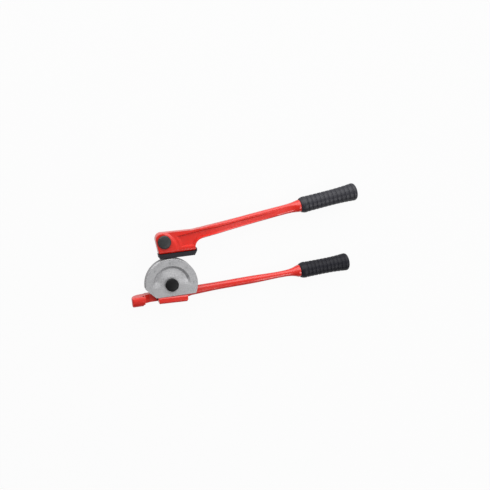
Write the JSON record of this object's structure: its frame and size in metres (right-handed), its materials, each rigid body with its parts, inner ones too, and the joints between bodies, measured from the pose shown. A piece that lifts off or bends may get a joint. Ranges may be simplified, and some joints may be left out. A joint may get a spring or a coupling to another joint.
{
  "type": "pipe bender",
  "caption": "Two-handled hand bender for small tube: a half-round grooved forming wheel and hook on a fixed handle, and a linked lever that carries a sliding shoe round it.",
  "frame": {"origin": "on the axis of the forming wheel and its centre bolt, in the plane that the tool rests on when it lies on its back", "axes": "+Z along both pivots, from the tool's back to its marked face; +X along the wheel's flat foot, from the hook towards the handles; +Y from the fixed handle towards the lever"},
  "size_m": [0.5267, 0.211, 0.0513],
  "materials": {
    "painted_casting": "gloss",
    "former_alloy": "satin cast and machined",
    "blackened_steel": "satin black oxide",
    "plated_steel": "satin",
    "bearing_bronze": "satin",
    "black_shoe": "satin black",
    "grip_rubber": "matt"
  },
  "bodies": {
    "fixed": {"fixed_handle": "painted_casting", "forming_wheel": "former_alloy", "centre_bolt": "blackened_steel", "centre_bush": "plated_steel", "front_thrust_washer": "plated_steel", "rear_thrust_washer": "plated_steel", "nut_washer": "plated_steel", "centre_nut": "plated_steel", "lower_grip": "grip_rubber"},
    "link": {"link_strap": "blackened_steel", "link_bearing": "bearing_bronze", "lever_pin": "blackened_steel", "lever_washer": "plated_steel", "pin_washer": "plated_steel", "retaining_ring": "plated_steel"},
    "lever": {"lever_handle": "painted_casting", "lever_bearing": "bearing_bronze", "slide_shoe": "black_shoe", "shoe_screws": "blackened_steel", "upper_grip": "grip_rubber"}
  },
  "joints": [
    {"name": "link_swing", "type": "hinge", "parent": "fixed", "child": "link", "pos_m": [0, 0, 0.0322], "axis": [0, 0, 1], "range_deg": [-16, 85]},
    {"name": "lever_pivot", "type": "hinge", "parent": "link", "child": "lever", "pos_m": [-0.0074, 0.093, 0.0322], "axis": [0, 0, 1], "range_deg": [0, 120]}
  ]
}
